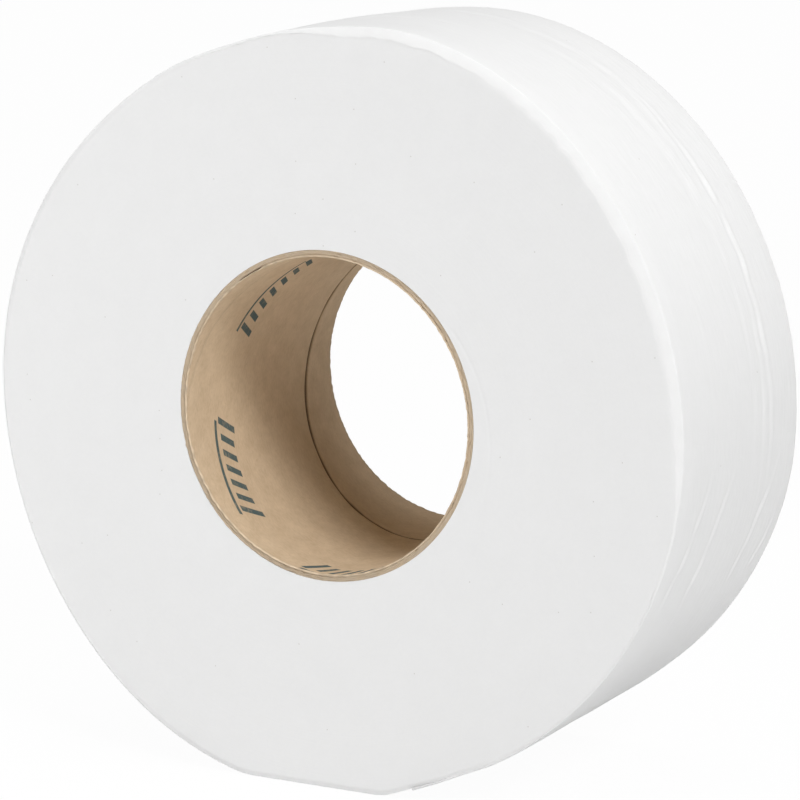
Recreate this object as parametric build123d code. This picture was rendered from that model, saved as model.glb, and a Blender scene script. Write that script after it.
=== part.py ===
from build123d import *
from math import cos, degrees, pi, radians, sin, sqrt, tan
import os

# A jumbo toilet paper roll: a web of tissue wound on a spiral-wound board core.
# Millimetres. The origin is the middle of the core, on its axis.
# X is to the right and Z up, seen from the front; the axis runs along Y, towards the back.
# Angles are in degrees about the axis, seen from the front: 0 is right and 90 is up.

# Overall sizes
roll_diameter = 218.0
roll_width = 84.0
core_bore_diameter = 90.0
core_wall = 2.0

# Soft form of the wound paper
flat_width = 45.0          # flat spot that the roll rests on
oval_height = 1.0          # slight oval from storage: how far it rises above the mean radius
oval_angle = 63.0
corner_height = 0.95       # four soft corners from the case that the rolls are packed in
corner_angle = 71.0
rim_radius = 3.5           # rounded edge of the outer turns

# Turns of the web, which show as a spiral line on both ends
turn_pitch = 7.5
turn_line_width = 0.5
turn_line_depth = 0.3
first_turn_gap = 2.5       # from the core to the first line
last_turn_gap = 3.0        # from the last line to the rounded edge

# Loose tail of the outermost turn
tail_gap = 6.0             # along the outline, from the flat spot to the tail's edge
tail_length = 75.0         # along the outline, from the tail's edge to where it lies close
tail_lift = 0.9
tail_root_depth = 2.0      # how deep the tail's layer reaches into the turns below it
tail_setback = 1.2         # from the roll's ends to the tail's own edges

# Helical butt seam of the core's inner ply
seam_pitch = 69.0
seam_width = 0.6
seam_depth = 0.4
seam_front_angle = 182.5   # where the seam meets the front edge
seam_overrun = 3.0         # how far the seam's cutter runs past both edges

# Worked out from the sizes above
roll_radius = roll_diameter / 2
bore_radius = core_bore_diameter / 2
core_radius = bore_radius + core_wall
back_plane = Plane.XZ.offset(-roll_width / 2)
arc_count = 8              # soft corners and the flatter stretches between them, by turns
arc_span = 360 / arc_count
bevel_shares = [2 - sqrt(2), tan(pi / 8) - tan(pi / 16)]  # of the rim's radius


def soft_radius(angle):
    """Radius of the outer turns: the mean, a slight oval and four soft corners."""
    oval = oval_height * cos(radians(2 * (angle - oval_angle)))
    corners = corner_height * cos(radians(4 * (angle - corner_angle)))
    return roll_radius + oval + corners


def polar(radius, angle):
    """Point of the front view at a radius and an angle."""
    return (radius * cos(radians(angle)), radius * sin(radians(angle)))


def arc_angle(length):
    """Angle in degrees that a length along the outside of the roll spans."""
    return degrees(length / roll_radius)


def soft_outline():
    """Face inside the outer turns, bounded by tangent arcs of equal length that follow soft_radius.

    A wave of n lobes adds n * n - 1 times its height over the mean radius to the curvature, and steps
    of a quarter of pi that much make the same wave. Half the arcs turn through 180 degrees together,
    so the other half, which repeats them, closes the outline about its own middle.
    """
    first = corner_angle - arc_span / 2
    slope = (soft_radius(first + 1) - soft_radius(first - 1)) / radians(2) / roll_radius
    point = (0, 0)
    tangent = polar(1, first + 90 - degrees(slope))
    arcs = []
    for index in range(arc_count):
        corner_bend = (-1) ** index * 15 * pi / 4 * corner_height / roll_radius
        oval_wave = cos(radians(2 * (corner_angle + arc_span * index - oval_angle)))
        bend = 1 + corner_bend + 3 * oval_height / roll_radius * oval_wave
        arc = JernArc(point, tangent, roll_radius / bend, arc_span * bend)
        point = arc @ 1
        tangent = arc % 1
        arcs.append(arc)
    middle = (arcs[0] @ 0 + arcs[arc_count // 2] @ 0) / 2
    return Pos(-middle) * make_face(Curve() + arcs)


def flat_level():
    """Height of the flat spot, at which the outline is about as wide as the spot."""
    return -sqrt(soft_radius(-90) ** 2 - (flat_width / 2) ** 2)


def soft_body():
    """Wound paper without its bore: the soft outline with rounded rims, pressed flat below.

    A rim is rounded by a bevel of its corner and then of that bevel's own edges, which keeps within
    two hundredths of the radius of a round.
    """
    body = extrude(back_plane * soft_outline(), roll_width)
    for share in bevel_shares:
        body = chamfer(body.edges().filter_by(GeomType.CIRCLE), share * rim_radius)
    below = Box(roll_diameter, 2 * roll_width, roll_diameter, align=(Align.CENTER, Align.CENTER, Align.MAX))
    return body - Pos(0, 0, flat_level()) * below


def tail_layer():
    """Last stretch of the web, lifted at its edge and running into the turns below it."""
    first = -90 + arc_angle(flat_width / 2 + tail_gap)
    angles = [first, first + arc_angle(tail_length) / 2, first + arc_angle(tail_length)]
    rises = [tail_lift, tail_lift / 4, -tail_root_depth / 2]
    outer = [polar(soft_radius(angle) + rise, angle) for angle, rise in zip(angles, rises)]
    inner = [polar(soft_radius(angle) - tail_root_depth, angle) for angle in angles]
    edge = Curve() + [
        ThreePointArc(*outer),
        Line(outer[-1], inner[-1]),
        ThreePointArc(*reversed(inner)),
        Line(inner[0], outer[0]),
    ]
    return extrude(Plane.XZ * make_face(edge), roll_width / 2 - tail_setback, both=True)


def half_turn(index, end):
    """Cutter for half a turn of the spiral line on one end: a V carried round half a circle.

    The centres of odd and even half turns lie half a pitch apart, so that each half turn runs on
    smoothly from the one before and the spiral grows by one pitch in a full turn.
    """
    side = 1 if index % 2 == 0 else -1
    centre = -side * turn_pitch / 4
    radius = core_radius + first_turn_gap + turn_pitch / 4 + index * turn_pitch / 2
    middle = centre + side * radius
    face_y = end * roll_width / 2
    outside = face_y + end * turn_line_depth
    bottom = face_y - end * turn_line_depth
    groove = Polyline(
        (middle - turn_line_width, outside),
        (middle + turn_line_width, outside),
        (middle, bottom),
        close=True,
    )
    return revolve(make_face(groove), Axis((centre, 0, 0), (0, 1, 0)), 180)


def turn_lines(end):
    """Cutter for the spiral line of one end, with as many half turns as the wound paper has room for."""
    room = roll_radius - rim_radius - last_turn_gap - core_radius - first_turn_gap
    half_turns = int(room / (turn_pitch / 2))
    return Part() + [half_turn(index, end) for index in range(half_turns)]


def paper_roll():
    """All turns of the tissue as one solid, from the core's outside to the loose tail."""
    body = soft_body() + tail_layer()
    body -= Plane.XZ * Cylinder(core_radius, roll_width)
    body -= turn_lines(-1)
    body -= turn_lines(1)
    return body


def seam_cutter():
    """Narrow strip along the helix where the edges of the inner ply meet."""
    path = Helix(seam_pitch, roll_width + 2 * seam_overrun, bore_radius)
    section = Plane(path @ 0, x_dir=(1, 0, 0), z_dir=path % 0) * Rectangle(2 * seam_depth, seam_width)
    strip = sweep(section, path, is_frenet=True)
    start_angle = seam_front_angle + 360 * seam_overrun / seam_pitch
    start = Pos(0, -roll_width / 2 - seam_overrun, 0)
    return start * Rot(-90, 0, 0) * Rot(0, 0, -start_angle) * strip


def core_tube():
    """Board tube as wide as the roll, with the inner ply's seam showing along the bore."""
    tube = Plane.XZ * Cylinder(core_radius, roll_width)
    tube -= Plane.XZ * Cylinder(bore_radius, roll_width)
    return tube - seam_cutter()


os.makedirs("parts", exist_ok=True)
export_step(paper_roll(), "parts/paper_roll.step")
export_step(core_tube(), "parts/core_tube.step")
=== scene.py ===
from math import cos, pi, radians, sin, tau

import bpy
import numpy as np
from bpy.props import FloatProperty, FloatVectorProperty, PointerProperty
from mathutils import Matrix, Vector


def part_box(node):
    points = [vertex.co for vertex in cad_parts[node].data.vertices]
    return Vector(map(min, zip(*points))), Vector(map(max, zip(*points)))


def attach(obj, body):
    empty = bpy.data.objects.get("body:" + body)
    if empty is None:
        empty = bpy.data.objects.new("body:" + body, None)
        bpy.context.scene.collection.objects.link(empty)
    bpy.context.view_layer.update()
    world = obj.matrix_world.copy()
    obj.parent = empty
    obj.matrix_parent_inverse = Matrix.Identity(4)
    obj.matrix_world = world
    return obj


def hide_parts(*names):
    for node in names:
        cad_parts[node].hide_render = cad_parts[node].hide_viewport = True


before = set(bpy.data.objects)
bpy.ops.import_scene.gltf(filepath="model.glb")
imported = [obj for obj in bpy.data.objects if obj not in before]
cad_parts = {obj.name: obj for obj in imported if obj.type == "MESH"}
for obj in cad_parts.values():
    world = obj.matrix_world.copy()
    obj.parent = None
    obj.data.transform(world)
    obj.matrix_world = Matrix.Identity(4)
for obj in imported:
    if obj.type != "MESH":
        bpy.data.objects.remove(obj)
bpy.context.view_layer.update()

bl_info = {
    "name": "Jumbo Tissue Roll",
    "version": (1, 0, 0),
    "blender": (4, 5, 0),
    "location": "View3D > Sidebar > Tissue Roll",
    "description": "Wound tissue with its loose last turn, on a spiral-wound board core",
    "category": "Add Mesh",
}

# Metres. The axis of the roll runs along Y, from the front end to the back end, and Z is up.
# Angles are about the axis, seen from the front: 0 is right and a quarter turn is up.
# Grids start at the lowest point, where the roll rests.
PAPER_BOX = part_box("paper_roll")
ROLL_WIDTH = PAPER_BOX[1][1] - PAPER_BOX[0][1]
FLAT_LEVEL = PAPER_BOX[0][2]
FIRST_ANGLE = -pi / 2
MILLIMETRE = 0.001
FLOOR_REACH = 20.0
SENSOR_WIDTH = 36.0
WHITE = (1.0, 1.0, 1.0, 1.0)

# Columns of the grids round the axis, and rows of their parts.
WOUND_COLUMNS = 540
FIRST_TURN_ROWS = 24
END_ROWS = 52
RIM_ROWS = 14
SIDE_ROWS = 6
INSIDE_ROWS = 4
SHEET_COLUMNS = 600
SHEET_ROWS = (13, 122)      # on each rim and along the side
UNDERSIDE_ROWS = (5, 6)
CORE_COLUMNS = 480
CUT_ROWS = 18
OUTSIDE_ROWS = 5
BORE_ROWS = 158

# Stretches round the axis: first and last angle, and over how many degrees they end, all in degrees.
BEVELLED_RIM = (3, 84, 15)
FLAT_SPOT = (-104, -80, 7)
FRAYED_EDGE = (-74, -24, 9)
LOWER_LOOSE_EDGE = (-70, -20, 10)
UPPER_LOOSE_EDGE = (96, 108, 4)
WEB_START = (-18, 30, 10)
CRACKED_PLY = (117, 125, 2.5)


def length(name, description, default):
    """Property for a length in metres."""
    return FloatProperty(
        name=name, description=description, default=default, precision=5, subtype="DISTANCE", unit="LENGTH"
    )


def turn(name, description, degrees):
    """Property for an angle, given in degrees and kept in radians."""
    return FloatProperty(
        name=name, description=description, default=radians(degrees), subtype="ANGLE", unit="ROTATION"
    )


def share(name, description, default):
    """Property for a share or a strength."""
    return FloatProperty(name=name, description=description, default=default, min=0.0)


def colour(name, description, default):
    """Property for a linear colour."""
    return FloatVectorProperty(
        name=name, description=description, default=default, size=3, min=0.0, max=1.0, subtype="COLOR"
    )


def place(name, description, default):
    """Property for a point in the frame."""
    return FloatVectorProperty(
        name=name, description=description, default=default, size=3, subtype="TRANSLATION", unit="LENGTH"
    )


class PaperSettings(bpy.types.PropertyGroup):
    """Sizes and finish of the wound tissue."""

    mean_radius: length("Mean radius", "Radius of the roll without its oval and corners", 0.109)
    oval_height: length("Oval height", "Rise of the storage oval over the mean radius", 0.001)
    oval_angle: turn("Oval angle", "Where the oval is highest", 63)
    corner_height: length("Corner height", "Rise of the four soft corners", 0.00095)
    corner_angle: turn("Corner angle", "Where one of the corners is", 71)
    flat_level: length("Flat level", "Height of the flat spot that the roll rests on", FLAT_LEVEL)
    flat_blend: length("Flat blend", "Softness of the flat spot's edges", 0.0006)
    width: length("Width", "Length of the roll along its axis", ROLL_WIDTH)
    core_radius: length("Core radius", "Inside of the first turn", 0.0469)
    rim_fall: length("Rim fall", "How far in on the ends the soft bevel of the rims starts", 0.0028)
    rim_depth: length("Rim depth", "How far the soft bevel reaches along the side", 0.0013)
    rim_power: share("Rim power", "Power of the bevel's outline: 1 is straight and 2 is round", 1.02)
    rim_least: share("Rim least", "Share of the bevel's size that is left away from the upper right", 0.25)
    rim_waves: share("Rim waves", "Unevenness of the bevel's size", 0.06)
    press_start: length("Press start", "Radius from which the presses of the front rim show", 0.07)
    turn_relief: length("Turn relief", "Unevenness from turn to turn on the ends", 0.000004)
    end_relief: length("End relief", "Broad unevenness of the ends", 0.00009)
    start_depth: length("Start depth", "Depth of the line where the web starts on the core", 0.00009)
    start_width: length("Start width", "Half width of that line", 0.00025)
    start_gap: length("Start gap", "From the core to that line at the line's first angle", 0.0018)
    start_rise: length("Start rise", "How far that line moves out over its turn", 0.0047)
    start_angle: turn("Start angle", "First angle of that line", 33)
    start_turn: turn("Start turn", "Turn of that line", 53)
    sheet_room: length("Sheet room", "Room of the last turn over the turns below it", 0.0004)
    sheet_thickness: length("Sheet thickness", "Thickness of the two-ply web at its edges", 0.0002)
    sheet_waves: length("Sheet waves", "Slack of the last turn", 0.00005)
    least_rise: length("Least rise", "Least height of the last turn over the turns below it", 0.00006)
    under_gap: length("Under gap", "Height of the last turn's underside where it lies close", 0.00003)
    near_rim: length("Near rim", "Stretch beside the rims on which the last turn lies closer", 0.006)
    crease_height: length("Crease height", "Height of a full crease in the last turn", 0.0005)
    tail_angle: turn("Tail angle", "Where the web ends", -75)
    tail_span: turn("Tail span", "Stretch over which the tail lifts", 24)
    tail_lift: length("Tail lift", "How far the tail's edge stands off the roll", 0.0006)
    tail_tear: length("Tail tear", "Unevenness of the tail's torn edge", 0.0003815)
    tuck_span: turn("Tuck span", "Stretch of the last turn that lies under the tail", 7)
    edge_wrap: share("Edge wrap", "Share of the rims that the sheet's edges reach over", 0.93)
    edge_waves: share("Edge waves", "Unevenness of that share", 0.012)
    front_fray: share("Front fray", "Share of the front rim that the frayed edge leaves bare", 0.5)
    back_fray: share("Back fray", "Share of the back rim that the frayed edge leaves bare", 0.4)
    fray_waves: share("Fray waves", "Unevenness of the bare shares", 0.09)
    edge_lift: length("Edge lift", "How far the frayed edges stand off at the lower right", 0.00018)
    edge_sink: length("Edge sink", "How far the edges sink into the turns below elsewhere", 0.00008)
    tissue: colour("Tissue", "Colour of the tissue", (0.885, 0.885, 0.883))
    shade: colour("Shade", "Colour of the thinner spots of the tissue", (0.838, 0.838, 0.836))
    speck: colour("Speck", "Colour of the stray fibres", (0.68, 0.67, 0.65))


class CoreSettings(bpy.types.PropertyGroup):
    """Sizes and finish of the board tube."""

    bore_radius: length("Bore radius", "Inside of the tube", 0.045)
    wall: length("Wall", "Thickness of the board", 0.0019)
    width: length("Width", "Length of the tube along its axis", ROLL_WIDTH)
    strip_pitch: length("Strip pitch", "Travel of the board strip in one turn", 0.069)
    seam_angle: turn("Seam angle", "Where the seam meets the front edge", 182.5)
    seam_width: length("Seam width", "Half of the gap between the strip's edges", 0.0006)
    seam_depth: length("Seam depth", "Depth of the gap", 0.0004)
    seam_lip: length("Seam lip", "Rise of the board beside the gap", 0.00008)
    fine_waves: length("Fine waves", "Fine unevenness of the bore", 0.00006)
    broad_waves: length("Broad waves", "Broad unevenness of the bore", 0.00012)
    even_edge: length("Even edge", "Stretch at the ends of the bore on which it evens out", 0.004)
    burr_height: length("Burr height", "Lip that the knife leaves on the inner edge", 0.0003)
    burr_lean: length("Burr lean", "How far that lip leans into the bore", 0.00013)
    inner_wear: length("Inner wear", "How far the inner corner of a cut edge is worn down", 0.0003)
    outer_wear: length("Outer wear", "How far the outer corner of a cut edge is worn down", 0.00015)
    ragged: length("Ragged", "Unevenness of the cut fibres", 0.00011)
    crack_depth: length("Crack depth", "Depth of the opened ply at the upper left of the front edge", 0.0007)
    board: colour("Board", "Colour of the board", (0.725, 0.572, 0.402))
    fibre: colour("Fibre", "Colour of the dark fibres in the board", (0.575, 0.437, 0.288))
    cut: colour("Cut", "Colour of the cut edge", (0.52, 0.44, 0.35))
    # Partly painted highlight: the pale lip stands for loose fibres and for the key light on the burr.
    lip: colour("Lip", "Colour of the loose fibres on the inner edge", (0.83, 0.68, 0.5))
    # Painted shade: this dark colour stands for the shade inside the seam's gap and between the opened plies.
    gap: colour("Gap", "Colour inside the seam and between the plies", (0.12, 0.078, 0.044))
    ink: colour("Ink", "Colour of the printed bars", (0.052, 0.105, 0.12))
    print_pitch: length("Print pitch", "Distance between two groups of bars along the strip", 0.0566)
    print_start: length("Print start", "Place of one group along the strip", 0.0165)
    print_height: length("Print height", "Place of that group across the strip", 0.0206)
    print_slope: FloatProperty(
        name="Print slope", description="Drift of the print across the strip", default=-0.008
    )
    print_sway: share("Print sway", "Growth of that drift for each metre along the strip", 0.19)


class StageSettings(bpy.types.PropertyGroup):
    """Light, floor and camera."""

    floor: colour("Floor", "Colour of the floor", (0.9, 0.9, 0.9))
    floor_glow: share("Floor glow", "Share of plain white that the camera sees on the floor", 0.97)
    zenith: share("Zenith", "Light from straight above", 5.85)
    zenith_focus: share("Zenith focus", "Power of a direction's height that this light grows with", 20.0)
    key_power: share("Key power", "Watts of the key light", 29.1)
    key_size: length("Key size", "Side of the key light", 0.6)
    key_place: place("Key place", "Where the key light stands", (1.4, -0.965, 1.4))
    fill_power: share("Fill power", "Watts of the fill light", 0.96)
    fill_size: length("Fill size", "Side of the fill light", 0.3)
    fill_place: place("Fill place", "Where the fill light stands, at the front left", (-0.4, -0.55, 0.1))
    aim: place("Aim", "Point that the camera and the lights face", (0.001, 0.0014, -0.002))
    distance: length("Distance", "From the aim to the camera", 0.93)
    azimuth: turn("Azimuth", "Side from which the camera looks, right of the axis", 28.08)
    elevation: turn("Elevation", "Height from which the camera looks", 10.23)
    lens: FloatProperty(
        name="Lens", description="Focal length in millimetres", default=144.0, subtype="DISTANCE_CAMERA"
    )


def ease(low, high, value):
    """Smooth step: 0 up to low, 1 from high on, and 3t^2 - 2t^3 between them."""
    t = np.clip((value - low) / (high - low), 0.0, 1.0)
    return t * t * (3.0 - 2.0 * t)


def bell(value, middle, half_width):
    """Bell about a middle: exp(-t^2) of the distance from it over the half width."""
    return np.exp(-(((value - middle) / half_width) ** 2))


def stretch_of(angle, first, last, soft):
    """1 on the stretch of angles from first to last, in degrees, easing to 0 over soft degrees outside it.

    Angles are first brought to within half a turn of the stretch's middle.
    """
    middle = radians((first + last) / 2)
    half = radians((last - first) / 2)
    away = np.abs(np.mod(angle - middle + pi, tau) - pi)
    return 1.0 - ease(half, half + radians(soft), away)


def waves(angle, across, seed, laps=0, cycles=0.0, count=20):
    """Soft random relief with a spread of about one, seamless round the axis.

    It is the sum of cosines of (lap * angle + tau * cycle * across + phase), with whole laps up to the
    given number, cycles up to the given number for each unit of across, and phases from a seeded generator.
    """
    draw = np.random.default_rng(seed)
    numbers = zip(
        draw.integers(-laps, laps + 1, count),
        draw.uniform(-cycles, cycles, count),
        draw.uniform(0.0, tau, count),
    )
    total = sum(np.cos(lap * angle + tau * cycle * across + phase) for lap, cycle, phase in numbers)
    return total * np.sqrt(2.0 / count)


def uneven(mean, spread, least, most, relief):
    """Share that a relief makes uneven about its mean, held between its least and its most."""
    return np.clip(mean + spread * relief, least, most)


# Sine of an angle below which the flat spot can hold the radius.
FLAT_SINE = -0.5


def soft_radius(paper, angle):
    """Radius of the outermost turn: the mean, an oval of two lobes and four soft corners.

    Below, a smooth minimum holds it to the flat spot, where the radius is the level over the angle's sine.
    """
    oval = paper.oval_height * np.cos(2.0 * (angle - paper.oval_angle))
    corners = paper.corner_height * np.cos(4.0 * (angle - paper.corner_angle))
    free = paper.mean_radius + oval + corners
    flat = paper.flat_level / np.minimum(np.sin(angle), FLAT_SINE)
    part = np.clip(0.5 + 0.5 * (flat - free) / paper.flat_blend, 0.0, 1.0)
    return flat + (free - flat) * part - paper.flat_blend * part * (1.0 - part)


def rim_size(paper, angle):
    """How far the rims' bevel reaches along the ends and along the side: most at the upper right."""
    size = paper.rim_least + (1.0 - paper.rim_least) * stretch_of(angle, *BEVELLED_RIM)
    size = size * (1.0 + paper.rim_waves * waves(angle, 0.0, seed=21, laps=130, count=60))
    return paper.rim_fall * size, paper.rim_depth * size


def rim_profile(paper, angle, sweep):
    """Section of a rim from the side, at sweep 0, to the end, at sweep 1.

    It is a quarter of a superellipse, u^n + v^n = 1, which is a bevel with soft edges while the power n is
    little over 1. Returned are how far it has fallen from the outside, how far it has run towards the end,
    and the two parts of its outward direction, away from the axis and towards the end.
    """
    fall, depth = rim_size(paper, angle)
    u = np.cos(sweep * pi / 2) ** (2.0 / paper.rim_power)
    v = np.sin(sweep * pi / 2) ** (2.0 / paper.rim_power)
    outward = u ** (paper.rim_power - 1.0) / fall
    endward = v ** (paper.rim_power - 1.0) / depth
    size = np.hypot(outward, endward)
    return fall * (1.0 - u), depth * v, outward / size, endward / size


def around(radius, angle, along):
    """Points at a radius and an angle about the axis, and a place along it."""
    return np.stack(np.broadcast_arrays(radius * np.cos(angle), along, radius * np.sin(angle)), axis=-1)


def loop_quads(columns, rows, closed):
    """Corner numbers of the quads between neighbouring loops of a grid, with each loop closed.

    Loops follow each other with rising angle, and the last one joins the first where closed is true.
    """
    first = np.arange(columns if closed else columns - 1)[:, None]
    row = np.arange(rows)[None, :]
    after = (first + 1) % columns
    beside = (row + 1) % rows
    corners = [first * rows + row, first * rows + beside, after * rows + beside, after * rows + row]
    return np.stack(corners, axis=-1).reshape(-1, 4)


def loop_texture(texture):
    """Texture coordinates of the quads of loop_quads, from a grid with one more column and row."""
    corners = [texture[:-1, :-1], texture[:-1, 1:], texture[1:, 1:], texture[1:, :-1]]
    return np.stack(corners, axis=2).reshape(-1, 2)


# Soft presses of the front rim: a stretch's first and last angle and how softly it ends, in degrees, and
# depth in millimetres.
PRESSES = [
    (90, 104, 16, 1.3),
    (-73, -67, 8, 0.9),
]


def press_rim(paper, points):
    """Points of the paper with the presses of its front rim.

    A press lowers the radius, in full at the rim and easing to nothing towards the middle of the roll's
    width and towards the inner turns.
    """
    radius = np.hypot(points[..., 0], points[..., 2])
    angle = np.arctan2(points[..., 2], points[..., 0])
    depth = sum(amount * stretch_of(angle, first, last, soft) for first, last, soft, amount in PRESSES)
    near_front = ease(0.0, -paper.width / 2, points[..., 1])
    near_rim = ease(paper.press_start, paper.mean_radius, radius)
    scale = 1.0 - depth * MILLIMETRE * near_front * near_rim / radius
    return points * np.stack([scale, np.ones_like(scale), scale], axis=-1)


def add_piece(name, points, faces, material, sharp, node=None):
    """Mesh object at the origin from a grid of points, riding on the roll's one body."""
    mesh = bpy.data.meshes.new(name)
    mesh.from_pydata(points.reshape(-1, 3).tolist(), [], faces)
    if mesh.validate():
        raise RuntimeError(f"{name} has faces that do not fit together")
    mesh.shade_smooth()
    mesh.set_sharp_from_angle(angle=radians(sharp))
    mesh.materials.append(material)
    piece = bpy.data.objects.new(name, mesh)
    bpy.context.scene.collection.objects.link(piece)
    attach(piece, "root")
    if node:
        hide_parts(node)
    return piece


def add_attribute(piece, name, values):
    """Number for each point of a piece, which its material reads by name."""
    layer = piece.data.attributes.new(name, "FLOAT", "POINT")
    layer.data.foreach_set("value", np.ascontiguousarray(values, dtype=np.float32).ravel())


def add_texture(piece, corners):
    """Texture coordinates in metres, one pair for each corner of each face."""
    layer = piece.data.uv_layers.new(name="surface")
    layer.data.foreach_set("uv", np.ascontiguousarray(corners, dtype=np.float32).ravel())


# Portions of the way from the core to the rim: where the first turns end and where the outer turns start,
# and how much more the outer turns stand out.
FIRST_TURNS = 0.15
OUTER_TURNS = 0.8
OUTER_GAIN = 1.5


def end_relief(paper, angle, portion, seed):
    """How far an end stands out, for an angle and the portion of the way from the core to the rim.

    Broad waves make it uneven, and rings of many wavelengths mark groups of turns wound at different tension.
    """
    broad = paper.end_relief * waves(angle, portion, seed, laps=4, cycles=1.6)
    rings = paper.turn_relief * waves(angle, portion, seed + 1, laps=1, cycles=16.0, count=30)
    return broad + (1.0 + OUTER_GAIN * ease(OUTER_TURNS, 1.0, portion)) * rings


def start_line(paper, angle, radius):
    """Depth of the line where the web's first edge lies on the core.

    It runs clockwise outwards on the right: a narrow bell about a radius that grows as the angle falls.
    """
    turned = (paper.start_angle - angle) / paper.start_turn
    line_radius = paper.core_radius + paper.start_gap + paper.start_rise * turned
    return paper.start_depth * bell(radius, line_radius, paper.start_width) * stretch_of(angle, *WEB_START)


def wound_turns_grid(paper):
    """Closed grid of all turns but the last.

    Each loop is the section at one angle: out along the front end, over the rim, along the side, over the
    back rim, in along the back end and along the core. An end's radius runs evenly from the core to the rim,
    so the turns take up the oval outside step by step.
    """
    angle = FIRST_ANGLE + np.linspace(0.0, tau, WOUND_COLUMNS, endpoint=False)[:, None]
    half = paper.width / 2
    outer = soft_radius(paper, angle) - paper.sheet_room
    rim_fall, rim_depth = rim_size(paper, angle)
    first_turns = np.linspace(0.0, FIRST_TURNS, FIRST_TURN_ROWS, endpoint=False)
    portion = np.concatenate([first_turns, np.linspace(FIRST_TURNS, 1.0, END_ROWS)])[None, :]
    radius = paper.core_radius + (outer - rim_fall - paper.core_radius) * portion
    fall, depth, _, fade = rim_profile(paper, angle, np.linspace(1.0, 0.0, RIM_ROWS)[None, 1:])
    rim_radius = outer - fall
    rim_drop = rim_depth - depth
    front = end_relief(paper, angle, portion, seed=11) - start_line(paper, angle, radius)
    back = end_relief(paper, angle, portion, seed=23)
    side = np.linspace(-1.0, 1.0, SIDE_ROWS)[None, 1:-1] * (half - rim_depth)
    inside = np.tile(np.linspace(half, -half, INSIDE_ROWS)[1:-1], (WOUND_COLUMNS, 1))
    radii = [
        radius,
        rim_radius,
        np.broadcast_to(outer, side.shape),
        rim_radius[:, ::-1],
        radius[:, ::-1],
        np.full_like(inside, paper.core_radius),
    ]
    places = [
        -half - front,
        -half + rim_drop - front[:, -1:] * fade,
        side,
        (half - rim_drop + back[:, -1:] * fade)[:, ::-1],
        (half + back)[:, ::-1],
        inside,
    ]
    return press_rim(paper, around(np.concatenate(radii, axis=1), angle, np.concatenate(places, axis=1)))


# Creases of the last turn: first and last angle in degrees, place along the axis in millimetres at the first
# angle, half way and at the last angle, half width in millimetres and share of the crease height.
CREASES = [
    (-29, -5, -34.6, -29.6, -20.6, 1.1, 1.0),
    (-32, -5, -14.6, -14.4, -3.6, 1.1, 1.0),
    (-27, -6, 17.4, 20.8, 30.6, 1.1, 1.0),
    (-26, -17, 30.8, 33.0, 35.6, 1.0, 0.8),
    (-16, 22, 16.4, 15.2, 16.2, 1.3, 0.5),
    (-12, 55, 21.8, 19.4, 20.4, 1.3, 1.1),
    (-10, 30, 9.4, 8.7, 8.4, 1.6, 0.3),
    (22, 72, 8.4, 8.4, 6.2, 3.2, 0.5),
    (40, 66, 14.5, 17.5, 21.0, 2.2, 0.3),
    (52, 80, 19.0, 18.0, 15.0, 2.4, 0.5),
    (72, 92, 19.0, 20.0, 22.0, 2.4, 0.5),
    (-12, 66, -20.8, -20.6, -21.4, 1.2, 0.12),
    (72, 104, -8.0, -10.0, -15.0, 1.5, 0.4),
    (100, 122, 12.0, 17.0, 24.0, 1.1, 0.7),
    (128, 171, -20.0, -18.0, -12.0, 2.0, 0.8),
    (150, 168, 8.0, 12.0, 19.0, 1.0, 0.9),
    (178, 214, 22.0, 21.0, 17.0, 2.2, 0.9),
    (196, 214, -26.0, -22.0, -15.0, 1.0, 0.9),
    (222, 246, -3.0, 0.5, 6.0, 1.6, 0.7),
]
CREASE_WANDER = 0.35        # millimetres
CREASE_UNEVENNESS = 0.35    # share of its height
CREASE_SWELL = 0.8          # power of the swell from its ends


def crease_rise(paper, angle, across):
    """Rise of the last turn at its creases.

    A crease is a low and a high side by side, d exp(-d^2) of the distance across it over its half width,
    along a curve through its three places. It swells from nothing at both ends to an uneven full height
    between them, and wanders a little.
    """
    rise = 0.0
    wander = CREASE_WANDER * waves(angle, across, seed=36, laps=60, cycles=30.0)
    unevenness = 1.0 + CREASE_UNEVENNESS * waves(angle, across, seed=37, laps=70, cycles=30.0)
    for first, last, start, middle, end, width, height in CREASES:
        turned = np.mod(angle - radians(first) + pi / 2, tau) - pi / 2
        inside = np.clip(turned / radians(last - first), 0.0, 1.0)
        bow = 4.0 * (middle - (start + end) / 2) * inside * (1.0 - inside)
        path = start + (end - start) * inside + bow
        away = (across / MILLIMETRE - path - wander) / width
        rise = rise + height * away * np.exp(-(away ** 2)) * np.sin(pi * inside) ** CREASE_SWELL
    return paper.crease_height * unevenness * rise


def sheet_rows(paper, angle, rim_rows, side_rows):
    """Share of the rims, place along the axis and place across the web of the last turn's rows.

    Rows run from front to back. The share is negative on the front rim and 0 along the side. The sheet
    reaches over each rim by the wrap, less where its edge is frayed.
    """
    frayed = stretch_of(angle, *FRAYED_EDGE)
    front_bare = paper.front_fray + paper.fray_waves * waves(angle, 0.0, seed=32, laps=150)
    back_bare = paper.back_fray + paper.fray_waves * waves(angle, 0.0, seed=33, laps=120)
    ripple = paper.edge_waves * waves(angle, 0.0, seed=31, laps=170)
    front_wrap = paper.edge_wrap - frayed * front_bare + ripple
    back_wrap = paper.edge_wrap - frayed * back_bare
    step = np.linspace(0.0, 1.0, rim_rows, endpoint=False)[None, :]
    flat = np.zeros((len(angle), side_rows))
    rim = np.concatenate([-front_wrap * (1.0 - step), flat, back_wrap * (1.0 - step[:, ::-1])], axis=1)
    rows = np.concatenate([-np.ones(rim_rows), np.linspace(-1.0, 1.0, side_rows), np.ones(rim_rows)])
    base = (paper.width / 2 - rim_size(paper, angle)[1]) * rows[None, :]
    return rim, base, base + np.hypot(paper.rim_fall, paper.rim_depth) * rim


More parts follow.
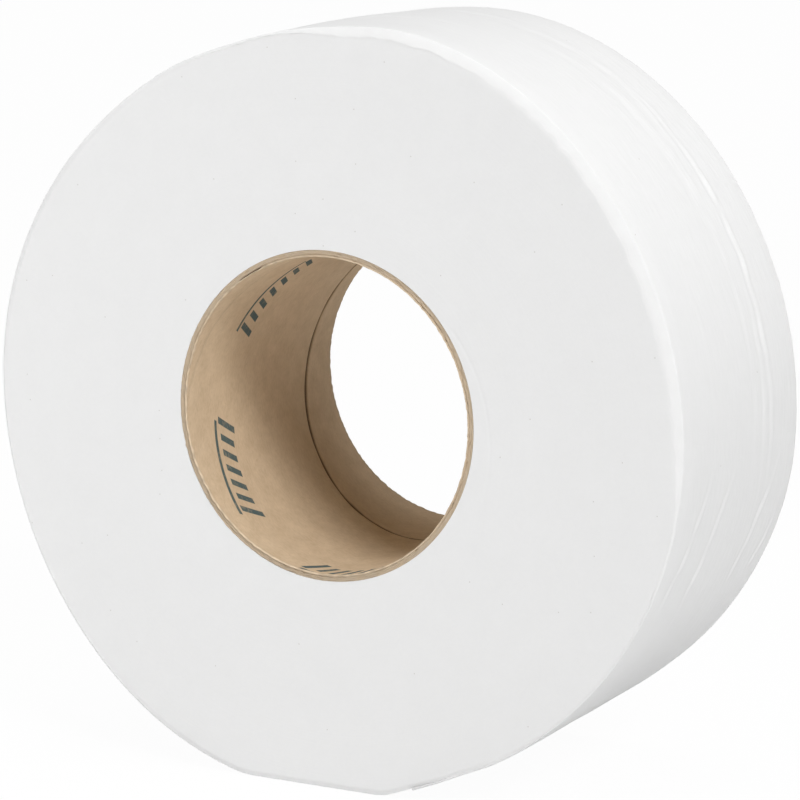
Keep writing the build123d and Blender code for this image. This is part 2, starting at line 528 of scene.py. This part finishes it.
# How the last turn lies.
TUCK_START = radians(12)    # before a full turn, where it starts to slip under the tail
TUCK_END = radians(1)       # before a full turn, where it is tucked in
LOOSE_LEVELS = (1.0, 1.8)   # of a relief, between which the edge comes loose
ROOM_LOSS = 0.85            # share of its room that is lost where it is held down
NEAR_LOSS = 0.75            # share of that loss beside the rims
SINK_START = 0.3            # share of a rim from which the edge sinks in
TEAR_SPAN = 0.06            # radians from the tail's edge over which the tear evens out


def sheet_rise(paper, wind, angle, rim, base, across):
    """Height of the last turn's outside over the turns below, how far its edges sink in and how loose it is.

    The height is the room of the sheet, which lessens beside the rims, towards its edges and where it is
    tucked under the tail, plus slack and creases, which are pressed out on the flat spot, the lift of the
    tail, which falls with the cube of the way from its edge, and the lift of short stretches of loose edge.
    """
    edge = np.clip(np.abs(rim) / paper.edge_wrap, 0.0, 1.0)
    tail = np.clip(1.0 - wind / paper.tail_span, 0.0, 1.0) ** 3
    tucked = ease(tau - TUCK_START, tau - TUCK_END, wind)
    can_lift = np.maximum(stretch_of(angle, *LOWER_LOOSE_EDGE), stretch_of(angle, *UPPER_LOOSE_EDGE))
    lifted = can_lift * ease(*LOOSE_LEVELS, waves(angle, np.sign(rim), seed=41, laps=110, cycles=0.5))
    slack = paper.sheet_waves * waves(angle, across, seed=42, laps=14, cycles=45.0, count=28)
    slack = slack + crease_rise(paper, angle, across)
    free = (1.0 - tucked) * (1.0 - edge) * (1.0 - stretch_of(angle, *FLAT_SPOT))
    near = ease(paper.near_rim, 0.0, paper.width / 2 - rim_size(paper, angle)[1] - np.abs(base))
    room = paper.sheet_room * (1.0 - ROOM_LOSS * np.maximum(np.maximum(tucked, edge), NEAR_LOSS * near))
    lift = paper.tail_lift * tail + paper.edge_lift * lifted * edge
    rise = np.maximum(room + free * slack + lift, paper.least_rise)
    sunk = paper.edge_sink * ease(SINK_START, 1.0, edge) * (1.0 - np.maximum(lifted, tail))
    return rise, sunk, np.maximum(tail, lifted * edge)


def sheet_side(paper, wind, rim_rows, side_rows, under):
    """Grid of one side of the last turn and its texture coordinates along and across the web.

    Heights are laid off square to the turns below. The underside lies on those turns, and follows the
    outside at one thickness where the sheet is loose. The tail's edge is torn.
    """
    rim, base, across = sheet_rows(paper, paper.tail_angle + wind, rim_rows, side_rows)
    torn = paper.tail_tear / paper.mean_radius * waves(0.0, across, seed=51, cycles=260.0, count=30)
    angle = paper.tail_angle + wind + torn * ease(TEAR_SPAN, 0.0, wind)
    rise, sunk, loose = sheet_rise(paper, wind, angle, rim, base, across)
    if under:
        rise = paper.under_gap + loose * np.maximum(rise - paper.sheet_thickness - paper.under_gap, 0.0)
    rise = rise - sunk
    fall, depth, outward, endward = rim_profile(paper, angle, np.abs(rim))
    radius = soft_radius(paper, angle) - paper.sheet_room - fall + rise * outward
    along = base + np.sign(rim) * (depth + rise * endward)
    texture = np.stack(np.broadcast_arrays(wind * paper.mean_radius, across), axis=-1)
    return press_rim(paper, around(radius, angle, along)), texture


def last_turn_grid(paper):
    """Closed thin shell of the last turn, from the tail inwards, and its texture coordinates.

    Each loop goes across the outside from front to back and returns across the inside.
    """
    wind = np.linspace(0.0, tau + paper.tuck_span, SHEET_COLUMNS)[:, None]
    outside, texture = sheet_side(paper, wind, *SHEET_ROWS, under=False)
    inside, inside_texture = sheet_side(paper, wind, *UNDERSIDE_ROWS, under=True)
    points = np.concatenate([outside, inside[:, ::-1]], axis=1)
    return points, np.concatenate([texture, inside_texture[:, ::-1], texture[:, :1]], axis=1)


# Rows of the bore are crowded about the seam by this share; the table spans more strips than the bore shows.
CROWDING = 0.86
STRIP_TABLE = np.linspace(-3.0, 4.0, 7001)


def crowd(step):
    """Steps crowded about the whole numbers: u - c sin(tau u) / tau, with the crowding c."""
    return step - CROWDING * np.sin(tau * step) / tau


def strip_lead(core, angle):
    """Place of the front edge across the strip, in strips: the turns from the seam's angle to an angle."""
    return (angle - core.seam_angle) / tau


def strip_slope(core):
    """Angle of the board strip to a section of the tube."""
    return np.arctan(core.strip_pitch / (tau * core.bore_radius))


def seam_phase(core, angle, rows):
    """Places across the board strip, in strips, of the rows from the front edge to the back edge.

    The phase grows by one from a seam to the next. Even steps are crowded about the seam; both ends are
    solved for, so that the rows start and stop at the edges.
    """
    lead = strip_lead(core, angle)
    crowded = crowd(STRIP_TABLE)
    start = np.interp(lead, crowded, STRIP_TABLE)
    stop = np.interp(lead + core.width / core.strip_pitch, crowded, STRIP_TABLE)
    return crowd(start + (stop - start) * np.linspace(0.0, 1.0, rows)[None, :])


# Places in the wall, from the bore at 0 to the outside at 1: middle and half width.
BURR = (0.12, 0.12)
PALE_LIP_PLACE = (0.08, 0.08)
CRACK = (0.2, 0.08)
PLY_JOINTS = [(0.3, 0.05, 0.2), (0.66, 0.06, 0.12)]     # and depth in millimetres
INNER_CORNER = 0.12
OUTER_CORNER = 0.8

# Uneven shares: mean, spread, least and most.
BURR_LEAN = (0.8, 0.25, 0.0, 1.4)
LIP_SHARE = (0.65, 0.3, 0.1, 1.0)
SEAM_WIDTH = (1.0, 0.14, 0.5, 1.6)
BURR_SPREAD = 0.2           # of the burr's height
LEAN_POWER = 6              # of the way from the outside, with which the burr leans


def cut_edge(core, angle, seed, cracked):
    """Radius, stand-out, lip share and crack share of a cut end of the tube, from the bore to the outside.

    The knife leaves a burr that leans into the bore, narrow grooves show the joints of the plies, the inner
    ply has come loose on a short stretch at the upper left where the edge is cracked, and the fibres are
    ragged. Burr, lip, crack and joints are bells across the wall. The lip share colours the burr pale, partly
    for loose fibres and partly as painted highlight of the key light, and the crack share also gives painted
    shade in the opened ply.
    """
    depth = np.linspace(0.0, 1.0, CUT_ROWS)[None, :]
    lean = core.burr_lean * uneven(*BURR_LEAN, waves(angle, 0.0, seed + 2, laps=170, count=40))
    radius = core.bore_radius + core.wall * depth - lean * (1.0 - depth) ** LEAN_POWER
    burr = core.burr_height * (1.0 + BURR_SPREAD * waves(angle, 0.0, seed, laps=110, count=40))
    lip = bell(depth, *PALE_LIP_PLACE) * uneven(*LIP_SHARE, waves(angle, 0.0, seed + 3, laps=90))
    crack = cracked * stretch_of(angle, *CRACKED_PLY) * bell(depth, *CRACK)
    joints = sum(groove * MILLIMETRE * bell(depth, middle, width) for middle, width, groove in PLY_JOINTS)
    fibres = core.ragged * waves(angle, depth, seed + 1, laps=170, cycles=2.5, count=40)
    worn = core.inner_wear * ease(INNER_CORNER, 0.0, depth) + core.outer_wear * ease(OUTER_CORNER, 1.0, depth)
    stand_out = burr * bell(depth, *BURR) + fibres - worn - joints - core.crack_depth * crack
    return radius, stand_out, lip, crack


# The seam is nearly shut at the front edge: share that is open there, and metres over which it opens.
SHUT_SHARE = 0.1
SEAM_OPENS = (0.018, 0.04)
SEAM_LIPS = (3.0, 2.0)      # middle and half width of the raised lips, in widths of the seam


def bore_rows(core, angle):
    """Radius, place along the axis and gap share of the bore's rows, from the front edge to the back edge.

    A narrow gap, exp(-t^4) of the distance from the seam, has a raised lip on both sides. Fine and broad
    waves make the bore uneven, and everything but the gap evens out at both edges.
    """
    half = core.width / 2
    phase = seam_phase(core, angle, BORE_ROWS)
    along = (phase - strip_lead(core, angle)) * core.strip_pitch - half
    away = (phase - np.round(phase)) * core.strip_pitch * np.cos(strip_slope(core))
    gap_width = core.seam_width * uneven(*SEAM_WIDTH, waves(angle, phase, seed=81, laps=24, cycles=3.0))
    opened = SHUT_SHARE + (1.0 - SHUT_SHARE) * ease(*SEAM_OPENS, along + half)
    gap = opened * np.exp(-((away / gap_width) ** 4))
    lips = opened * bell(np.abs(away) / core.seam_width, *SEAM_LIPS)
    fine = core.fine_waves * waves(angle, along, seed=82, laps=9, cycles=60.0)
    broad = core.broad_waves * waves(angle, along, seed=83, laps=3, cycles=8.0)
    relief = core.seam_depth * gap - core.seam_lip * lips + fine + broad
    inward = ease(0.0, core.even_edge, half - np.abs(along))
    return core.bore_radius + relief * np.maximum(inward, gap), along, gap


def strip_texture(core, angle, along):
    """Texture coordinates along and across the board strip, so that they part at the seam."""
    slope = strip_slope(core)
    run = along + core.width / 2
    strip = np.floor(run / core.strip_pitch + strip_lead(core, angle))
    unrolled = (angle - tau * strip - core.seam_angle) * core.bore_radius
    lengthwise = unrolled * np.cos(slope) - run * np.sin(slope)
    crosswise = unrolled * np.sin(slope) + run * np.cos(slope)
    texture = np.stack([lengthwise, crosswise], axis=-1)
    return np.concatenate([texture, texture[:, :1]], axis=1)


def core_grid(core):
    """Closed grid of the board tube, with its texture coordinates and its seam, cut and lip shares.

    Each loop goes out over the front edge, back along the outside, in over the back edge and forward along
    the bore. The seam share carries painted shade for the seam's gap and the opened ply.
    the bore.
    """
    angle = FIRST_ANGLE + np.linspace(0.0, tau, CORE_COLUMNS + 1)[:, None]
    half = core.width / 2
    front_radius, front_out, front_lip, crack = cut_edge(core, angle, seed=61, cracked=1.0)
    back_radius, back_out, back_lip, _ = cut_edge(core, angle, seed=71, cracked=0.0)
    outside = np.tile(np.linspace(-half, half, OUTSIDE_ROWS)[1:-1], (len(angle), 1))
    outside_radius = np.full_like(outside, core.bore_radius + core.wall)
    bore_radius, bore, gap = (values[:, -2:0:-1] for values in bore_rows(core, angle))
    radius = np.concatenate([front_radius, outside_radius, back_radius[:, ::-1], bore_radius], axis=1)
    along = np.concatenate([-half - front_out, outside, (half + back_out)[:, ::-1], bore], axis=1)
    no_share = np.zeros_like(outside)
    whole_edge = np.ones_like(crack)
    shares = {
        "seam_painted_shade": [crack, no_share, np.zeros_like(crack), gap],
        "cut_share": [whole_edge, no_share, whole_edge, np.zeros_like(gap)],
        "lip_fibres_and_highlight": [front_lip, no_share, back_lip[:, ::-1], np.zeros_like(gap)],
    }
    shares = {name: np.concatenate(values, axis=1)[:-1] for name, values in shares.items()}
    return around(radius, angle, along)[:-1], strip_texture(core, angle, along), shares


def feed(tree, socket, item):
    """Link a socket to the socket that feeds it, or set its value."""
    if isinstance(item, bpy.types.NodeSocket):
        tree.links.new(item, socket)
    else:
        socket.default_value = item


def add_node(tree, kind, inputs=None, **settings):
    """Shader node with its settings and its inputs, which are values or sockets."""
    made = tree.nodes.new(kind)
    for key, value in settings.items():
        setattr(made, key, value)
    for key, item in (inputs or {}).items():
        feed(tree, made.inputs[key], item)
    return made


def calc(tree, operation, *items):
    """Output of a Math node, whose inputs are numbers or sockets."""
    return add_node(tree, "ShaderNodeMath", dict(enumerate(items)), operation=operation).outputs[0]


def blend(tree, factor, first, second):
    """Colour between two colours, which are linear colours or sockets."""
    ends = [item if isinstance(item, bpy.types.NodeSocket) else (*item, 1.0) for item in (first, second)]
    return add_node(tree, "ShaderNodeMix", {0: factor, 6: ends[0], 7: ends[1]}, data_type="RGBA").outputs[2]


def map_range(tree, value, limits, **settings):
    """Value brought from one range to another: the first range's ends and then the second's."""
    labels = ("From Min", "From Max", "To Min", "To Max")
    inputs = {"Value": value, **dict(zip(labels, limits))}
    return add_node(tree, "ShaderNodeMapRange", inputs, **settings).outputs["Result"]


def new_group(name, inputs, outputs):
    """Empty node group with named sockets: its tree, and the sockets that it is given and puts out.

    An input without a default is a vector, and every other socket is a number.
    """
    tree = bpy.data.node_groups.new(name, "ShaderNodeTree")
    for label, default in inputs.items():
        kind = "NodeSocketVector" if default is None else "NodeSocketFloat"
        socket = tree.interface.new_socket(label, in_out="INPUT", socket_type=kind)
        if default is not None:
            socket.default_value = default
    for label in outputs:
        tree.interface.new_socket(label, in_out="OUTPUT", socket_type="NodeSocketFloat")
    return tree, tree.nodes.new("NodeGroupInput").outputs, tree.nodes.new("NodeGroupOutput").inputs


def fibre_group():
    """Fibres of paper or board: a tone and a height, from noise drawn out along the first coordinate.

    The coordinates are in metres, Density is in fibres for each metre, and Stretch is how much longer than
    wide a fibre is. Both outputs weigh fine noise and coarse clouds of the same web.
    """
    name = "Fibre web"
    if name in bpy.data.node_groups:
        return bpy.data.node_groups[name]
    cloud_density = 0.13
    fine_weights = {"Tone": 0.55, "Height": 0.7}
    tree, given, out = new_group(name, {"Vector": None, "Density": 1200.0, "Stretch": 3.0}, fine_weights)
    parts = add_node(tree, "ShaderNodeSeparateXYZ", {"Vector": given["Vector"]}).outputs
    short = calc(tree, "DIVIDE", parts["X"], given["Stretch"])
    drawn = add_node(tree, "ShaderNodeCombineXYZ", {"X": short, "Y": parts["Y"], "Z": parts["Z"]}).outputs[0]
    fine = add_node(
        tree, "ShaderNodeTexNoise",
        {"Vector": drawn, "Scale": given["Density"], "Detail": 3.0, "Roughness": 0.62},
    ).outputs["Fac"]
    cloud_scale = calc(tree, "MULTIPLY", given["Density"], cloud_density)
    clouds = add_node(
        tree, "ShaderNodeTexNoise",
        {"Vector": given["Vector"], "Scale": cloud_scale, "Detail": 2.0, "Roughness": 0.5},
    ).outputs["Fac"]
    for label, weight in fine_weights.items():
        rest = calc(tree, "MULTIPLY", clouds, 1.0 - weight)
        feed(tree, out[label], calc(tree, "ADD", calc(tree, "MULTIPLY", fine, weight), rest))
    return tree


def speck_group():
    """Stray specks: a mask that is 1 inside a spot near some of the points of a flat cell pattern.

    Spacing is in cells for each metre, Size is the spot's radius in cells, and Share is how many cells
    have one.
    """
    name = "Stray specks"
    if name in bpy.data.node_groups:
        return bpy.data.node_groups[name]
    inputs = {"Vector": None, "Spacing": 60.0, "Size": 0.015, "Share": 0.4}
    tree, given, out = new_group(name, inputs, ("Mask",))
    cells = add_node(
        tree, "ShaderNodeTexVoronoi", {"Vector": given["Vector"], "Scale": given["Spacing"]},
        voronoi_dimensions="2D",
    ).outputs
    chosen = add_node(tree, "ShaderNodeSeparateColor", {"Color": cells["Color"]}).outputs[0]
    inside = calc(tree, "LESS_THAN", cells["Distance"], given["Size"])
    taken = calc(tree, "LESS_THAN", chosen, given["Share"])
    feed(tree, out["Mask"], calc(tree, "MULTIPLY", inside, taken))
    return tree


def bar_group():
    """Printed bar: a mask that is 1 inside a slanted box with soft edges.

    The box's own distance is the larger of the distances past its half length and its half height, with the
    length measured along a line that leans by Slant for each unit of height.
    """
    name = "Printed bar"
    if name in bpy.data.node_groups:
        return bpy.data.node_groups[name]
    soft = 0.00012
    inputs = {
        "Along": 0.0,
        "Across": 0.0,
        "Middle Along": 0.0,
        "Middle Across": 0.0,
        "Half Length": 0.001,
        "Half Height": 0.004,
        "Slant": 0.3,
    }
    tree, given, out = new_group(name, inputs, ("Mask",))
    rise = calc(tree, "SUBTRACT", given["Across"], given["Middle Across"])
    lean = calc(tree, "MULTIPLY", rise, given["Slant"])
    run = calc(tree, "SUBTRACT", given["Along"], given["Middle Along"])
    run = calc(tree, "ABSOLUTE", calc(tree, "SUBTRACT", run, lean))
    past_length = calc(tree, "SUBTRACT", run, given["Half Length"])
    past_height = calc(tree, "SUBTRACT", calc(tree, "ABSOLUTE", rise), given["Half Height"])
    past = calc(tree, "MAXIMUM", past_length, past_height)
    mask = map_range(tree, past, (-soft, soft, 1.0, 0.0), interpolation_type="SMOOTHSTEP")
    feed(tree, out["Mask"], mask)
    return tree


def use_group(tree, made, inputs):
    """Outputs of a group that is placed in a material, with its own inputs."""
    return add_node(tree, "ShaderNodeGroup", inputs, node_tree=made).outputs


def surface_map(tree):
    """Texture coordinates of a piece, in metres."""
    return add_node(tree, "ShaderNodeUVMap", uv_map="surface").outputs[0]


def new_material(name, roughness, sheen, gloss):
    """Material with a matt Principled shader: the material, its tree and the shader's inputs."""
    material = bpy.data.materials.new(name)
    material.use_nodes = True
    tree = material.node_tree
    shader = tree.nodes["Principled BSDF"].inputs
    shader["Roughness"].default_value = roughness
    shader["Specular IOR Level"].default_value = gloss
    shader["Sheen Weight"].default_value = sheen
    shader["Sheen Roughness"].default_value = 0.6
    return material, tree, shader


def add_bump(tree, shader, height, strength, distance):
    """Bump that feeds the shader's normal."""
    bump = add_node(tree, "ShaderNodeBump", {"Strength": strength, "Distance": distance, "Height": height})
    feed(tree, shader["Normal"], bump.outputs["Normal"])


def tissue_tone(tree, paper, web, specks):
    """Colour of tissue with thinner spots and stray specks."""
    tone = blend(tree, web["Tone"], paper.shade, paper.tissue)
    return blend(tree, specks["Mask"], tone, paper.speck)


def tissue_end_material(paper):
    """Slit edges of the wound web: soft white with faint rings and a few stray specks."""
    material, tree, shader = new_material("tissue_slit_ends", roughness=0.95, sheen=0.1, gloss=0.25)
    spot = add_node(tree, "ShaderNodeTexCoord").outputs["Object"]
    web = use_group(tree, fibre_group(), {"Density": 900.0, "Stretch": 1.0, "Vector": spot})
    parts = add_node(tree, "ShaderNodeSeparateXYZ", {"Vector": spot}).outputs
    flat = add_node(tree, "ShaderNodeCombineXYZ", {"X": parts["X"], "Y": parts["Z"]}).outputs[0]
    specks = use_group(tree, speck_group(), {"Spacing": 110.0, "Size": 0.02, "Share": 0.16, "Vector": flat})
    feed(tree, shader["Base Color"], tissue_tone(tree, paper, web, specks))
    radius = add_node(tree, "ShaderNodeVectorMath", {0: flat}, operation="LENGTH").outputs["Value"]
    rings = add_node(
        tree, "ShaderNodeTexNoise", {"W": radius, "Scale": 1400.0, "Detail": 2.0}, noise_dimensions="1D"
    ).outputs["Fac"]
    ring_weight = 0.5
    height = calc(tree, "ADD", calc(tree, "MULTIPLY", rings, ring_weight), web["Height"])
    add_bump(tree, shader, height, strength=0.35, distance=0.00008)
    return material


def tissue_side_material(paper):
    """Flat of the web: soft white with fine crepe dashes and streaks along it, faint dimples and mottling."""
    material, tree, shader = new_material("tissue_creped_web", roughness=0.95, sheen=0.1, gloss=0.25)
    spot = surface_map(tree)
    web = use_group(tree, fibre_group(), {"Density": 900.0, "Stretch": 3.0, "Vector": spot})
    streaks = use_group(tree, fibre_group(), {"Density": 400.0, "Stretch": 3.5, "Vector": spot})
    specks = use_group(tree, speck_group(), {"Spacing": 45.0, "Size": 0.01, "Share": 0.2, "Vector": spot})
    feed(tree, shader["Base Color"], tissue_tone(tree, paper, web, specks))
    dimples = add_node(
        tree, "ShaderNodeTexVoronoi",
        {"Scale": 420.0, "Smoothness": 0.8, "Randomness": 0.75, "Vector": spot},
        feature="SMOOTH_F1",
    ).outputs["Distance"]
    dimple_weight = 0.5
    streak_weight = 3.5
    height = calc(tree, "ADD", web["Height"], calc(tree, "MULTIPLY", dimples, dimple_weight))
    height = calc(tree, "MULTIPLY_ADD", streaks["Height"], streak_weight, height)
    add_bump(tree, shader, height, strength=0.5, distance=0.0001)
    return material


# Printed bars of one group, and the line below them: middle along and across the strip, half length and half
# height, in millimetres. The bars at both ends are taller.
BAR_PITCH = 4.6
LAST_BAR = 3
BARS = [
    (BAR_PITCH * step, 0.4, 1.0, 4.2 if abs(step) == LAST_BAR else 3.2)
    for step in range(-LAST_BAR, LAST_BAR + 1)
]
BARS.append((0.0, -5.2, 14.8, 0.6))


def print_mask(tree, core, spot):
    """Mask of the printed bars, whose groups repeat along the strip.

    A group lies higher or lower across the strip by its way along it times a drift that grows with the way.
    """
    parts = add_node(tree, "ShaderNodeSeparateXYZ", {"Vector": spot}).outputs
    run = calc(tree, "SUBTRACT", parts["X"], core.print_start)
    steps = calc(tree, "ADD", calc(tree, "DIVIDE", run, core.print_pitch), 0.5)
    steps = calc(tree, "SUBTRACT", calc(tree, "FRACT", steps), 0.5)
    along = calc(tree, "MULTIPLY", steps, core.print_pitch)
    drift = calc(tree, "MULTIPLY_ADD", run, core.print_sway, core.print_slope)
    shift = calc(tree, "MULTIPLY", run, drift)
    across = calc(tree, "SUBTRACT", calc(tree, "SUBTRACT", parts["Y"], core.print_height), shift)
    labels = ("Middle Along", "Middle Across", "Half Length", "Half Height")
    mask = 0.0
    for sizes in BARS:
        inputs = {label: size * MILLIMETRE for label, size in zip(labels, sizes)}
        bar = use_group(tree, bar_group(), {"Along": along, "Across": across, **inputs})
        mask = calc(tree, "MAXIMUM", mask, bar["Mask"])
    return mask


def point_share(tree, name):
    """Share that a piece keeps for each of its points."""
    return add_node(tree, "ShaderNodeAttribute", attribute_name=name).outputs["Fac"]


def board_material(core):
    """Kraft board: fibres along the strip, dark flecks, printed bars, painted seam shade and frayed cut
    edges.
    """
    material, tree, shader = new_material("kraft_board_strip", roughness=0.85, sheen=0.0, gloss=0.05)
    fibre_tones = (0.26, 0.66)
    ink_wear = (0.3, 0.5, 0.55, 0.92)
    fleck_strength = 0.5
    seam_shade_strength = 0.95
    spot = surface_map(tree)
    web = use_group(tree, fibre_group(), {"Density": 1500.0, "Stretch": 2.2, "Vector": spot})
    flecks = use_group(tree, speck_group(), {"Spacing": 240.0, "Size": 0.07, "Share": 0.18, "Vector": spot})
    board = blend(tree, map_range(tree, web["Tone"], fibre_tones), core.fibre, core.board)
    board = blend(tree, calc(tree, "MULTIPLY", flecks["Mask"], fleck_strength), board, core.fibre)
    worn = map_range(tree, web["Tone"], ink_wear)
    board = blend(tree, calc(tree, "MULTIPLY", print_mask(tree, core, spot), worn), board, core.ink)

    place_in_wall = add_node(tree, "ShaderNodeTexCoord").outputs["Object"]
    fray = use_group(tree, fibre_group(), {"Density": 1900.0, "Stretch": 1.0, "Vector": place_in_wall})
    edge = blend(tree, fray["Tone"], core.fibre, core.cut)
    # Pale lip on the inner edge: partly loose fibres, partly painted highlight of the key light on the burr.
    edge = blend(tree, point_share(tree, "lip_fibres_and_highlight"), edge, core.lip)
    board = blend(tree, point_share(tree, "cut_share"), board, edge)
    # Painted shade: the seam's gap and the opened ply take the dark gap colour for the shade inside them.
    gap = calc(tree, "MULTIPLY", point_share(tree, "seam_painted_shade"), seam_shade_strength)
    feed(tree, shader["Base Color"], blend(tree, gap, board, core.gap))
    add_bump(tree, shader, web["Height"], strength=0.6, distance=0.00014)
    return material


def bare_tree(made):
    """Node tree of a new material or world, without its first nodes."""
    made.use_nodes = True
    made.node_tree.nodes.clear()
    return made.node_tree


def seen_directly(tree):
    """1 for what the camera sees, also in reflections and through glass, and 0 for light on surfaces."""
    path = add_node(tree, "ShaderNodeLightPath").outputs
    seen = calc(tree, "MAXIMUM", path["Is Camera Ray"], path["Is Glossy Ray"])
    return calc(tree, "MAXIMUM", seen, path["Is Transmission Ray"])


def floor_material(stage):
    """White table, which the camera and reflections see as mostly plain white."""
    material = bpy.data.materials.new("studio_floor")
    tree = bare_tree(material)
    glow = calc(tree, "MULTIPLY", seen_directly(tree), stage.floor_glow)
    matt = add_node(tree, "ShaderNodeBsdfDiffuse", {"Color": (*stage.floor, 1.0)}).outputs[0]
    white = add_node(tree, "ShaderNodeEmission", {"Color": WHITE, "Strength": 1.0}).outputs[0]
    mixed = add_node(tree, "ShaderNodeMixShader", {0: glow, 1: matt, 2: white}).outputs[0]
    add_node(tree, "ShaderNodeOutputMaterial", {"Surface": mixed})
    return material


def studio_world(stage):
    """Soft light from above, in a room that the camera and reflections see as white.

    The strength is the zenith's times the direction's height to the power of the focus.
    """
    world = bpy.data.worlds.new("studio_world")
    tree = bare_tree(world)
    way = add_node(tree, "ShaderNodeTexCoord").outputs["Generated"]
    height = add_node(tree, "ShaderNodeSeparateXYZ", {"Vector": way}).outputs["Z"]
    above = calc(tree, "POWER", calc(tree, "MAXIMUM", height, 0.0), stage.zenith_focus)
    strength = calc(tree, "MAXIMUM", calc(tree, "MULTIPLY", above, stage.zenith), seen_directly(tree))
    light = add_node(tree, "ShaderNodeBackground", {"Color": WHITE, "Strength": strength}).outputs[0]
    add_node(tree, "ShaderNodeOutputWorld", {"Surface": light})
    return world


def add_lamp(name, spot, aim, power, size):
    """Square area lamp at a place, facing the aim."""
    lamp = bpy.data.lights.new(name, "AREA")
    lamp.energy = power
    lamp.size = size
    made = bpy.data.objects.new(name, lamp)
    made.location = spot
    made.rotation_euler = (Vector(aim) - Vector(spot)).to_track_quat("-Z", "Y").to_euler()
    bpy.context.scene.collection.objects.link(made)


def add_floor(level, material):
    """Square floor at a level."""
    corners = [(x * FLOOR_REACH, y * FLOOR_REACH, level) for x, y in ((-1, -1), (1, -1), (1, 1), (-1, 1))]
    mesh = bpy.data.meshes.new("floor")
    mesh.from_pydata(corners, [], [(0, 1, 2, 3)])
    mesh.materials.append(material)
    floor = bpy.data.objects.new("floor", mesh)
    bpy.context.scene.collection.objects.link(floor)


def add_camera(stage):
    """Camera that faces the aim from its distance, azimuth and elevation."""
    camera = bpy.data.cameras.new("camera")
    camera.lens = stage.lens
    camera.sensor_width = SENSOR_WIDTH
    viewer = bpy.data.objects.new("camera", camera)
    reach = stage.distance * cos(stage.elevation)
    height = stage.distance * sin(stage.elevation)
    away = Vector((reach * sin(stage.azimuth), -reach * cos(stage.azimuth), height))
    viewer.location = Vector(stage.aim) + away
    viewer.rotation_euler = (pi / 2 - stage.elevation, 0.0, stage.azimuth)
    bpy.context.scene.collection.objects.link(viewer)
    return viewer


class ROLL_OT_wind_turns(bpy.types.Operator):
    """Wind all turns of the tissue but the last one"""

    bl_idname = "roll.wind_turns"
    bl_label = "Wind Turns"

    def execute(self, context):
        paper = context.scene.roll_paper
        points = wound_turns_grid(paper)
        faces = loop_quads(points.shape[0], points.shape[1], True).tolist()
        tissue = tissue_end_material(paper)
        add_piece("wound_turns", points, faces, tissue, sharp=60, node="paper_roll")
        return {"FINISHED"}


class ROLL_OT_wrap_last_turn(bpy.types.Operator):
    """Wrap the creased last turn of the tissue round the roll, with its loose tail"""

    bl_idname = "roll.wrap_last_turn"
    bl_label = "Wrap Last Turn"

    def execute(self, context):
        paper = context.scene.roll_paper
        points, texture = last_turn_grid(paper)
        columns, rows = points.shape[:2]
        tail = np.arange(rows)[::-1]
        tuck = (columns - 1) * rows + np.arange(rows)
        faces = loop_quads(columns, rows, False).tolist() + [tail.tolist(), tuck.tolist()]
        tissue = tissue_side_material(paper)
        piece = add_piece("last_turn", points, faces, tissue, sharp=45)
        add_texture(piece, np.concatenate([loop_texture(texture), texture[0, :-1][::-1], texture[-1, :-1]]))
        return {"FINISHED"}


class ROLL_OT_form_core(bpy.types.Operator):
    """Form the spiral-wound board tube with its seam and cut edges"""

    bl_idname = "roll.form_core"
    bl_label = "Form Core"

    def execute(self, context):
        core = context.scene.roll_core
        points, texture, shares = core_grid(core)
        faces = loop_quads(points.shape[0], points.shape[1], True).tolist()
        board = board_material(core)
        piece = add_piece("board_core", points, faces, board, sharp=50, node="core_tube")
        add_texture(piece, loop_texture(texture))
        for name, values in shares.items():
            add_attribute(piece, name, values)
        return {"FINISHED"}


class ROLL_OT_set_stage(bpy.types.Operator):
    """Set the floor, the light and the camera"""

    bl_idname = "roll.set_stage"
    bl_label = "Set Stage"

    def execute(self, context):
        scene = context.scene
        stage = scene.roll_stage
        add_floor(scene.roll_paper.flat_level, floor_material(stage))
        scene.world = studio_world(stage)
        add_lamp("key_light", stage.key_place, stage.aim, stage.key_power, stage.key_size)
        add_lamp("fill_light", stage.fill_place, stage.aim, stage.fill_power, stage.fill_size)
        scene.camera = add_camera(stage)
        scene.view_settings.view_transform = "Standard"
        return {"FINISHED"}


class ROLL_PT_panel(bpy.types.Panel):
    """Steps and settings of the tissue roll"""

    bl_idname = "ROLL_PT_panel"
    bl_label = "Tissue Roll"
    bl_space_type = "VIEW_3D"
    bl_region_type = "UI"
    bl_category = "Tissue Roll"

    def draw(self, context):
        scene = context.scene
        for settings, steps in (
            (scene.roll_paper, ("roll.wind_turns", "roll.wrap_last_turn")),
            (scene.roll_core, ("roll.form_core",)),
            (scene.roll_stage, ("roll.set_stage",)),
        ):
            box = self.layout.box()
            for step in steps:
                box.operator(step)
            for key in settings.__annotations__:
                box.prop(settings, key)


SETTINGS = {"roll_paper": PaperSettings, "roll_core": CoreSettings, "roll_stage": StageSettings}
CLASSES = (
    *SETTINGS.values(),
    ROLL_OT_wind_turns,
    ROLL_OT_wrap_last_turn,
    ROLL_OT_form_core,
    ROLL_OT_set_stage,
    ROLL_PT_panel,
)


def register():
    for made in CLASSES:
        bpy.utils.register_class(made)
    for key, made in SETTINGS.items():
        setattr(bpy.types.Scene, key, PointerProperty(type=made))


def unregister():
    for key in SETTINGS:
        delattr(bpy.types.Scene, key)
    for made in reversed(CLASSES):
        bpy.utils.unregister_class(made)


def main():
    register()
    bpy.ops.roll.wind_turns()
    bpy.ops.roll.wrap_last_turn()
    bpy.ops.roll.form_core()
    bpy.ops.roll.set_stage()


if __name__ == "__main__":
    main()
